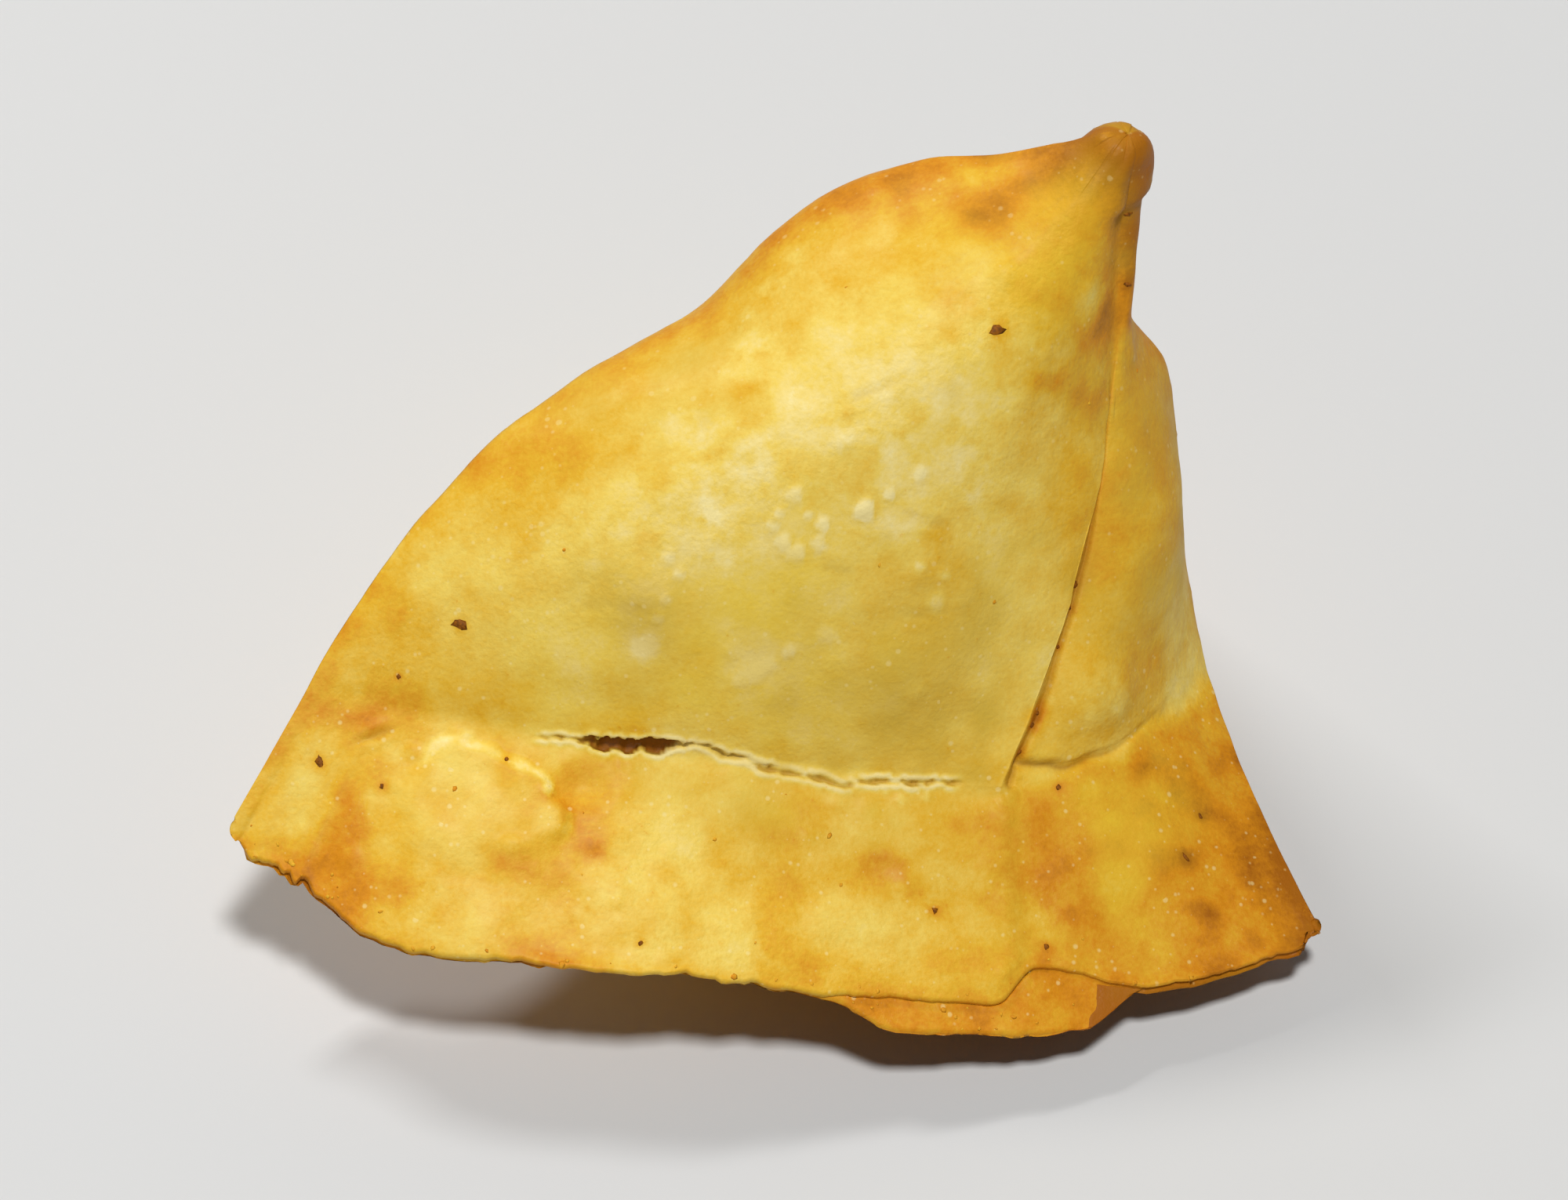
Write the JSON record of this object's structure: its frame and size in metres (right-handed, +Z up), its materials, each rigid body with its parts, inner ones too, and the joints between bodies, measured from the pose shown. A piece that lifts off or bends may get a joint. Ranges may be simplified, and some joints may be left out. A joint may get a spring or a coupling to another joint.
{
  "type": "samosa",
  "caption": "Fried pastry cone with a pointed tip, plump filled body and a flat pressed flap of dough along its front.",
  "frame": {"origin": "centre of the bounding box on the surface that the pastry stands on", "axes": "+Z up, +X along the flap from its left corner to its right one, -Y towards the flap's free edge"},
  "size_m": [0.1014, 0.0768, 0.0635],
  "materials": {
    "fried_dough": "golden brown fried wheat dough, satin with frying oil"
  },
  "bodies": {
    "root": {"samosa": "fried_dough"}
  },
  "joints": []
}
